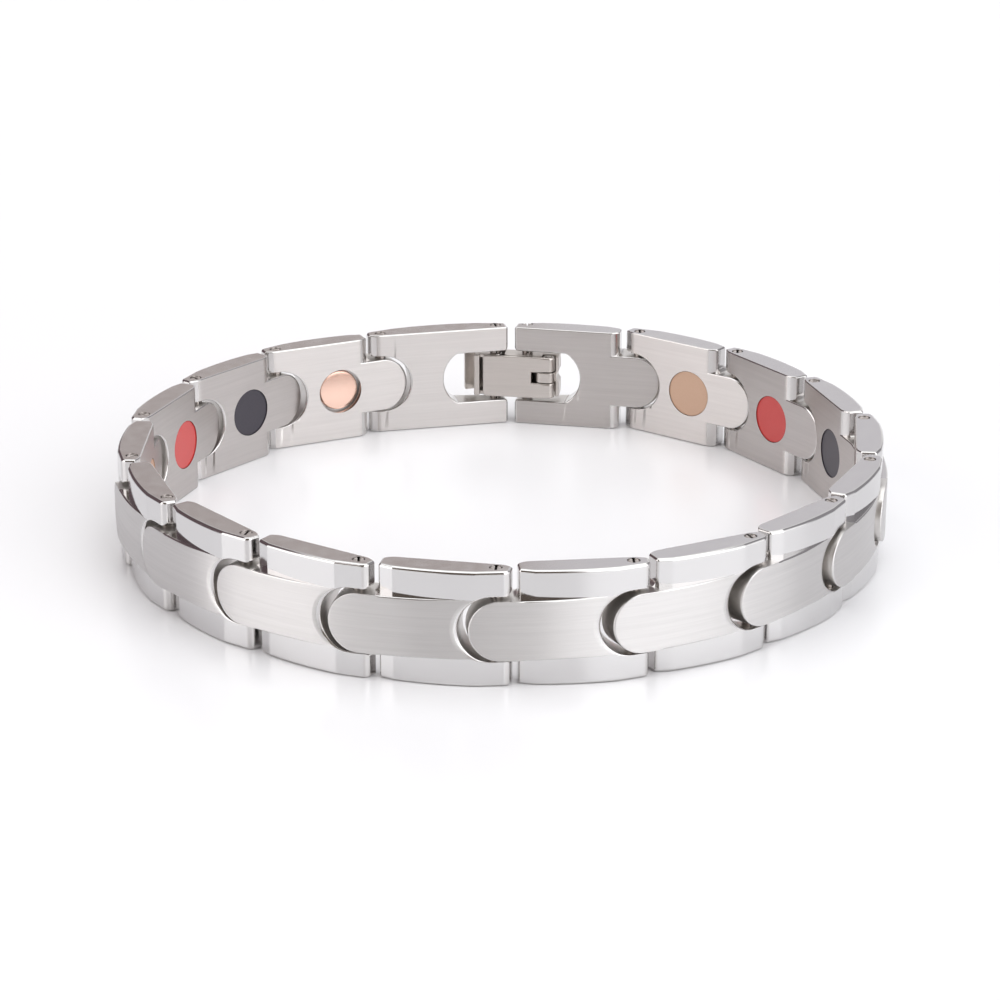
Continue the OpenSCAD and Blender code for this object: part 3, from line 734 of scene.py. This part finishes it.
def eye(first, last, r, z0, z1, rim=0.08):
    """An upright plate with half-round ends about first and last, drawn in at its rims."""
    step = rim * (1 - np.cos(quarter(6)))
    z = np.concatenate([z0 + step, z1 - step[::-1]])
    a = np.append(quarter(21, 90, 270), quarter(21, -90, 90))
    middle = np.repeat([first, last], 21, 0)
    size = r - drawn_in(np.minimum(z - z0, z1 - z), rim)
    ring = middle + size[:, None, None] * np.stack([np.cos(a), np.sin(a)], -1)
    return tube("eye", np.concatenate([ring, np.broadcast_to(z[:, None, None], (len(z), 42, 1))], -1))


def plate_arch(x):
    """Outer face of the clasp's base: an arc."""
    return PLATE_Y - PLATE_R + np.sqrt(PLATE_R ** 2 - (x - PLATE_MID) ** 2)


def wall_mouth(x):
    """Edge of the base's side walls: a rounded corner at the left, and a step at the hinge."""
    step = ease(STEP_X - STEP_HALF, STEP_X + STEP_HALF, x)
    return WALL_MOUTH + drawn_in(x - WALL_X, WALL_CORNER) + (STEP_Y - WALL_MOUTH) * step


def base_sheet():
    """Folded sheet of the base: a channel's section carried round the lip and along the arched plate.

    Each loop is worked out in depth under the outer face and in height. A fold is an arc of the outer radius
    and, a sheet's thickness inside it, an arc of the inner radius. Both ends are drawn in by a quarter round.
    The loops stand closer together where the walls start, at the step and at the ends.
    """
    end = 0.1
    step = end * (1 - np.cos(quarter(5)))
    turn = LIP_SWEEP - np.append(step, np.linspace(end, LIP_R * LIP_SWEEP, 14)[1:]) / LIP_R
    x = np.unique(np.round(np.concatenate([
        np.linspace(LIP_X, 0.7, 8), np.linspace(0.7, WALL_X - 0.01, 8),
        WALL_X + WALL_CORNER * (1 - np.cos(quarter(8))),
        np.linspace(1.3, STEP_X - 0.1, 14), np.linspace(STEP_X - STEP_HALF, STEP_X + STEP_HALF, 7),
        np.linspace(STEP_X + 0.1, PLATE_END - end, 8), PLATE_END - step]), 4))
    a = np.arccos((LIP_X - PLATE_MID) / PLATE_R)
    centre = [PLATE_MID, PLATE_Y - PLATE_R] + (PLATE_R - LIP_R) * np.array([np.cos(a), np.sin(a)])
    lip = centre + LIP_R * np.stack([np.cos(a + turn), np.sin(a + turn)], -1)
    path = np.concatenate([lip[:-1], np.stack([x, plate_arch(x)], -1)])
    turn, run = np.append(turn[:-1], 0 * x), np.append(0 * turn[:-1] + LIP_X, x)
    inward = np.stack([np.sin(turn), -np.cos(turn)], -1)
    pull = drawn_in(np.minimum(LIP_R * (LIP_SWEEP - turn), PLATE_END - run), end)[:, None]
    fold = (LIP_FOLD + (FOLD_R - LIP_FOLD) * ease(0.6, 1.1, run))[:, None]
    inner = np.maximum(fold - SHEET_T, 0.005)
    short = np.maximum(SHEET_T + inner + 0.005, fold + 0.01)
    deep = np.where(run < WALL_X, short[:, 0], plate_arch(run) - wall_mouth(run))[:, None]
    rim = np.clip(deep - SHEET_T - inner, 0.002, 0.07)
    c, s = 1 - np.cos(quarter(6)), 1 - np.sin(quarter(6))
    depth = np.concatenate([fold * c + pull, deep - rim * s, deep - rim * c, SHEET_T + inner * s], 1)
    high = np.concatenate([SHEET_HALF - fold * s - pull, SHEET_HALF - rim * c - pull,
                           SHEET_HALF - SHEET_T + rim * s, SHEET_HALF - SHEET_T - inner * c], 1)
    depth = np.concatenate([depth, depth[:, ::-1]], 1)[..., None]
    high = np.concatenate([high, -high[:, ::-1]], 1)[..., None]
    return tube("sheet", np.concatenate([path[:, None] + inward[:, None] * depth, high + MID], -1))


def clasp_base():
    """Base: the folded sheet, its end wall with a notch, and the eye that the cover turns on."""
    x, y = HINGE
    root_x, eye_z = (END_WALL_X + PLATE_END) / 2, (MID - EYE_HALF, MID + EYE_HALF)
    notch = np.array([[0.03, NOTCH_HALF], [-NOTCH_DEPTH, NOTCH_INNER],
                      [-NOTCH_DEPTH, -NOTCH_INNER], [0.03, -NOTCH_HALF]])
    notch = np.stack([np.insert(notch + [PLATE_END, MID], 1, end, 1) for end in (-2.0, 3.0)])
    wall = block((END_WALL_X, END_WALL_Y, MID - INNER_HALF), (PLATE_END - 0.01, 1.4, MID + INNER_HALF),
                 rim=0.12)
    root = block((x, END_WALL_Y + 0.01, eye_z[0] + 0.01), (root_x, STEP_Y, eye_z[1] - 0.01), rim=0.05)
    steps = [("UNION", wall),
             ("UNION", eye(HINGE - [EYE_REACH, 0], HINGE, BARREL_R, *eye_z)),
             ("UNION", root),
             ("DIFFERENCE", bore(x, y, HINGE_PIN_R + PIN_GAP, "z", 1, LINK_H - 1)),
             ("DIFFERENCE", bore(*RIGHT_PIN, PIN_D / 2 + PIN_GAP, "z", 1, LINK_H - 1)),
             ("DIFFERENCE", tube("notch", notch))]
    return cut(base_sheet(), steps)


def clasp_catch():
    """Catch: a bar across the window between two ears on the left clasp pin."""
    steps = []
    for z in (MID - CATCH_HALF, MID + CATCH_HALF - EAR_T):
        steps.append(("UNION", eye((BAR_X + EAR_R + 0.05, 0), (0, 0), EAR_R, z + 0.005, z + EAR_T - 0.005)))
    steps.append(("DIFFERENCE", bore(0, 0, PIN_D / 2 + PIN_GAP, "z", 1, LINK_H - 1)))
    bar = block((BAR_X, BAR_Y[0], MID - CATCH_HALF), (BAR_X + BAR_T, BAR_Y[1], MID + CATCH_HALF), rim=0.13)
    return cut(bar, steps)


def cover_strip(run, half, low=None, lift=0.0):
    """A strip of the cover: rounded loops of its thickness and height, carried along its visible face.

    The path is straight as far as the hinge and then an arc round it. The sheet gets thinner where it curls,
    and both ends of the strip are drawn in.
    """
    flat = HINGE[0] - COVER_X
    turn = np.clip(run - flat, 0, None) / BARREL_R
    way = np.stack([-np.sin(turn), np.cos(turn)], -1)
    path = np.stack([COVER_X + np.minimum(run, flat), 0 * run + HINGE[1]], -1) - way * BARREL_R
    curled = ease(flat - 1.2, flat - 0.2, run)
    draw = drawn_in(np.minimum(run - run[0], run[-1] - run), COVER_END)
    thick = COVER_T - 0.1 * ease(flat - 0.6, flat, run)
    low = -half if low is None else low
    r_face, r_back = (np.maximum(rim - draw, 0.01) for rim in (0.1 + 0.13 * curled, 0.1 - 0.05 * curled))
    loops = rounded_sections(run, draw - lift, thick - draw + lift, MID + low + draw, MID + half - draw,
                             r_face, r_back)
    return tube("strip", np.concatenate([path[:, None] + way[:, None] * loops[..., 1:2], loops[..., 2:]], -1))


def clasp_cover():
    """Cover: a flat strip with rounded corners, and two narrower ones that curl 275 degrees round the pin."""
    flat, slot_end = HINGE[0] - COVER_X, COVER_SLOT_X - COVER_X
    step = COVER_END * (1 - np.cos(quarter(6)))
    corner = COVER_CORNER * (1 - np.cos(quarter(12)))
    run = np.concatenate([step, corner, np.linspace(COVER_CORNER, slot_end - COVER_END, 14), slot_end - step])
    run = np.unique(np.round(run, 4))
    body = cover_strip(run, SHEET_HALF - drawn_in(run, COVER_CORNER))
    first, last = slot_end - 0.8, flat + BARREL_R * np.radians(275)
    run = np.concatenate([first + step, np.linspace(first + COVER_END, flat, 9)[1:],
                          np.linspace(flat, last - COVER_END, 30)[1:], (last - step)[::-1][1:]])
    slot = EYE_HALF + KNUCKLE_GAP
    ones = np.ones(len(run))
    steps = [("UNION", cover_strip(run, SHEET_HALF * ones, slot * ones, 0.002)),
             ("UNION", cover_strip(run, -slot * ones, -SHEET_HALF * ones, 0.002))]
    return cut(body, steps)


# Settings and operators

class BraceletSettings(bpy.types.PropertyGroup):
    """Sizes and colours that can be changed before the bracelet is drawn."""
    floor_size: FloatProperty(name="Floor size", description="Width of the floor", default=3.0, min=0.5,
                              unit="LENGTH")
    floor_colour: FloatVectorProperty(name="Floor colour", description="Colour of the pale floor", size=4,
                                      subtype="COLOR", default=linear("#F9F9FB"), min=0, max=1)
    lens: FloatProperty(name="Lens", description="Focal length of the camera in millimetres", default=114.62,
                        min=20, max=300)
    camera_place: FloatVectorProperty(name="Camera place", description="Where the camera stands", size=3,
                                      subtype="TRANSLATION", default=(-0.000338, -0.281451, 0.108585))
    camera_tilt: FloatProperty(name="Camera tilt", description="How far the camera looks down",
                               default=float(np.radians(20.443)), subtype="ANGLE")


class BRACELET_OT_links(bpy.types.Operator):
    """Draws the sixteen middle links"""
    bl_idname = "bracelet.links"
    bl_label = "Middle links"

    def execute(self, context):
        meshes = {"copper": middle_link(COPPER_BORE), "other": middle_link(DISC_BORE)}
        for i in range(1, 17):
            mesh = meshes["copper" if i % 4 == 1 else "other"]
            put(mesh, "steel_link_%02d" % i, link_place(i), "link_%02d" % i,
                materials=[finish(key) for key in LINK_FINISHES], shift=17.0 * i)
        return {"FINISHED"}


class BRACELET_OT_clasp_links(bpy.types.Operator):
    """Draws the two links that hold the clasp"""
    bl_idname = "bracelet.clasp_links"
    bl_label = "Clasp links"

    def execute(self, context):
        for mesh, i, side in ((left_clasp_link(), 0, "left"), (right_clasp_link(), 17, "right")):
            put(mesh, "steel_clasp_link_" + side, link_place(i), "clasp_link_" + side,
                materials=[finish(key) for key in LINK_FINISHES], shift=11.0 * i + 3)
        return {"FINISHED"}


class BRACELET_OT_discs(bpy.types.Operator):
    """Draws the coloured discs on the inside of the links"""
    bl_idname = "bracelet.discs"
    bl_label = "Discs"

    def execute(self, context):
        kinds = ("copper", "black", "red", "tan")
        for i in range(1, 17):
            kind = kinds[(i - 1) % 4]
            mesh = turned(copper_disc() if kind == "copper" else flush_disc())
            put(mesh, "%s_disc_%02d" % (kind, i), link_place(i), "disc_%s_%02d" % (kind, i),
                materials=[finish(kind)])
        return {"FINISHED"}


class BRACELET_OT_pins(bpy.types.Operator):
    """Draws the split pins that join the links"""
    bl_idname = "bracelet.pins"
    bl_label = "Split pins"

    def execute(self, context):
        turns = np.random.default_rng(7).uniform(-40, 40, len(PINS))
        for name, pin, turn in zip(PIN_NAMES, PINS, turns):
            round_ring = np.arctan2(pin[1], pin[0])
            matrix = Matrix.Scale(MM, 4) @ Matrix.Translation((pin[0], pin[1], LOW[2]))
            put(split_pin(round_ring + np.radians(turn)), "wire_" + name, matrix, name,
                materials=[finish("wire")])
        return {"FINISHED"}


class BRACELET_OT_clasp(bpy.types.Operator):
    """Draws the clasp's base, catch, cover and cover pin"""
    bl_idname = "bracelet.clasp"
    bl_label = "Clasp"

    def execute(self, context):
        where = clasp_place()
        for name, draw, body in (("base", clasp_base, "bracelet"), ("catch", clasp_catch, "bracelet"),
                                 ("cover", clasp_cover, "cover")):
            mesh = draw()
            grain_map(mesh)
            put(smooth(mesh), "sheet_clasp_" + name, where, "clasp_" + name,
                materials=[finish("sheet")], body=body)
        mesh = turned(eye(HINGE, HINGE, HINGE_PIN_R, MID - INNER_HALF, MID + INNER_HALF))
        put(mesh, "wire_cover_pin", where, "cover_pin", materials=[finish("wire")])
        return {"FINISHED"}


def sky():
    """Light tent: a dim room with upright cards and soft boxes round it, and a round light above.

    A card's share is 1 within its spans of azimuth and elevation and falls to 0 over a soft edge.
    """
    world = bpy.data.worlds.new("light_tent")
    world.use_nodes = True
    tree = world.node_tree
    tree.nodes.clear()
    way = add(tree, "ShaderNodeTexCoord").outputs["Generated"]
    axes = add(tree, "ShaderNodeSeparateXYZ", {"Vector": way})
    azimuth = add(tree, "ShaderNodeMath", {0: axes.outputs["Y"], 1: axes.outputs["X"]}, operation="ARCTAN2")
    elevation = add(tree, "ShaderNodeMath", {0: axes.outputs["Z"]}, operation="ARCSINE")
    light = (*ROOM_LIGHT, 1)
    for start, end, low, high, soft, value in CARDS:
        shares = []
        for angle, first, last in ((azimuth, start, end), (elevation, low, high)):
            middle, half, edge = np.radians([(first + last) / 2, (last - first) / 2, soft / 2]).tolist()
            off = add(tree, "ShaderNodeMath", {0: angle.outputs[0], 1: middle}, operation="SUBTRACT")
            off = add(tree, "ShaderNodeMath", {0: off.outputs[0], 1: np.pi, 2: -np.pi}, operation="WRAP")
            off = add(tree, "ShaderNodeMath", {0: off.outputs[0]}, operation="ABSOLUTE")
            shares.append(add(tree, "ShaderNodeMapRange", {"Value": off.outputs[0], "From Min": half + edge,
                                                           "From Max": half - edge},
                              interpolation_type="SMOOTHSTEP").outputs[0])
        share = add(tree, "ShaderNodeMath", {0: shares[0], 1: shares[1]}, operation="MULTIPLY")
        light = add(tree, "ShaderNodeMix", {"Factor": share.outputs[0], "A": light, "B": (*value, 1)},
                    data_type="RGBA").outputs["Result"]
    a, e = np.radians(TOP_LIGHT_WAY)
    axis = (float(np.cos(e) * np.cos(a)), float(np.cos(e) * np.sin(a)), float(np.sin(e)))
    near = add(tree, "ShaderNodeVectorMath", {0: way, 1: axis}, operation="DOT_PRODUCT")
    share = add(tree, "ShaderNodeMapRange", {"Value": near.outputs["Value"],
                                             "From Min": float(np.cos(np.radians(TOP_LIGHT_ANGLE + 2))),
                                             "From Max": float(np.cos(np.radians(TOP_LIGHT_ANGLE - 2)))},
                interpolation_type="SMOOTHSTEP")
    light = add(tree, "ShaderNodeMix", {"Factor": share.outputs[0], "A": light, "B": (*TOP_LIGHT, 1)},
                data_type="RGBA").outputs["Result"]
    glow = add(tree, "ShaderNodeBackground", {"Color": light, "Strength": 1.0})
    add(tree, "ShaderNodeOutputWorld", {"Surface": glow.outputs[0]})
    bpy.context.scene.world = world


class BRACELET_OT_stage(bpy.types.Operator):
    """Sets up the pale floor, the soft light and the camera"""
    bl_idname = "bracelet.stage"
    bl_label = "Stage"

    def execute(self, context):
        settings = context.scene.bracelet
        half = settings.floor_size / 2
        mesh = bpy.data.meshes.new("floor")
        corners = [(-half, -half, 0), (half, -half, 0), (half, half, 0), (-half, half, 0)]
        mesh.from_pydata(corners, [], [(0, 1, 2, 3)])
        mesh.transform(Matrix.Translation((0, 0, (float(LOW[2]) - FLOOR_GAP) * MM)))
        material, tree = new_material("pale_board")
        where = add(tree, "ShaderNodeTexCoord").outputs["Object"]
        cloud = add(tree, "ShaderNodeTexNoise", {"Vector": where, "Scale": 60.0})
        rough = add(tree, "ShaderNodeMapRange", {"Value": cloud.outputs["Fac"], "To Min": 0.24,
                                                 "To Max": 0.28})
        board = add(tree, "ShaderNodeBsdfPrincipled", {"Base Color": settings.floor_colour, "IOR": 1.49,
                                                       "Roughness": rough.outputs[0]})
        add(tree, "ShaderNodeOutputMaterial", {"Surface": board.outputs[0]})
        mesh.materials.append(material)
        floor = bpy.data.objects.new("floor", mesh)
        context.scene.collection.objects.link(floor)
        floor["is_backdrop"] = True
        sky()
        camera = bpy.data.cameras.new("camera")
        camera.lens, camera.sensor_width, camera.clip_start, camera.clip_end = settings.lens, 36, 0.01, 20
        seat = bpy.data.objects.new("camera", camera)
        seat.location = settings.camera_place
        seat.rotation_euler = (np.pi / 2 - settings.camera_tilt, 0, 0)
        context.scene.collection.objects.link(seat)
        context.scene.camera = seat
        context.scene.view_settings.view_transform = "Standard"
        return {"FINISHED"}


class BRACELET_PT_panel(bpy.types.Panel):
    """Lists the steps that draw the bracelet"""
    bl_idname = "BRACELET_PT_panel"
    bl_label = "Bracelet"
    bl_space_type = "VIEW_3D"
    bl_region_type = "UI"
    bl_category = "Bracelet"

    def draw(self, context):
        settings = context.scene.bracelet
        for name in ("floor_size", "floor_colour", "lens", "camera_place", "camera_tilt"):
            self.layout.prop(settings, name)
        for operator in OPERATORS:
            self.layout.operator(operator.bl_idname)


OPERATORS = (BRACELET_OT_stage, BRACELET_OT_links, BRACELET_OT_clasp_links, BRACELET_OT_discs,
             BRACELET_OT_pins, BRACELET_OT_clasp)
CLASSES = (BraceletSettings, *OPERATORS, BRACELET_PT_panel)


def register():
    """Registers the settings, the operators and the panel."""
    for item in CLASSES:
        bpy.utils.register_class(item)
    bpy.types.Scene.bracelet = PointerProperty(type=BraceletSettings)


def unregister():
    """Takes them away again."""
    del bpy.types.Scene.bracelet
    for item in reversed(CLASSES):
        bpy.utils.unregister_class(item)


def main():
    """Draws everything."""
    register()
    bpy.ops.bracelet.stage()
    bpy.ops.bracelet.links()
    bpy.ops.bracelet.clasp_links()
    bpy.ops.bracelet.discs()
    bpy.ops.bracelet.pins()
    bpy.ops.bracelet.clasp()


if __name__ == "__main__":
    main()
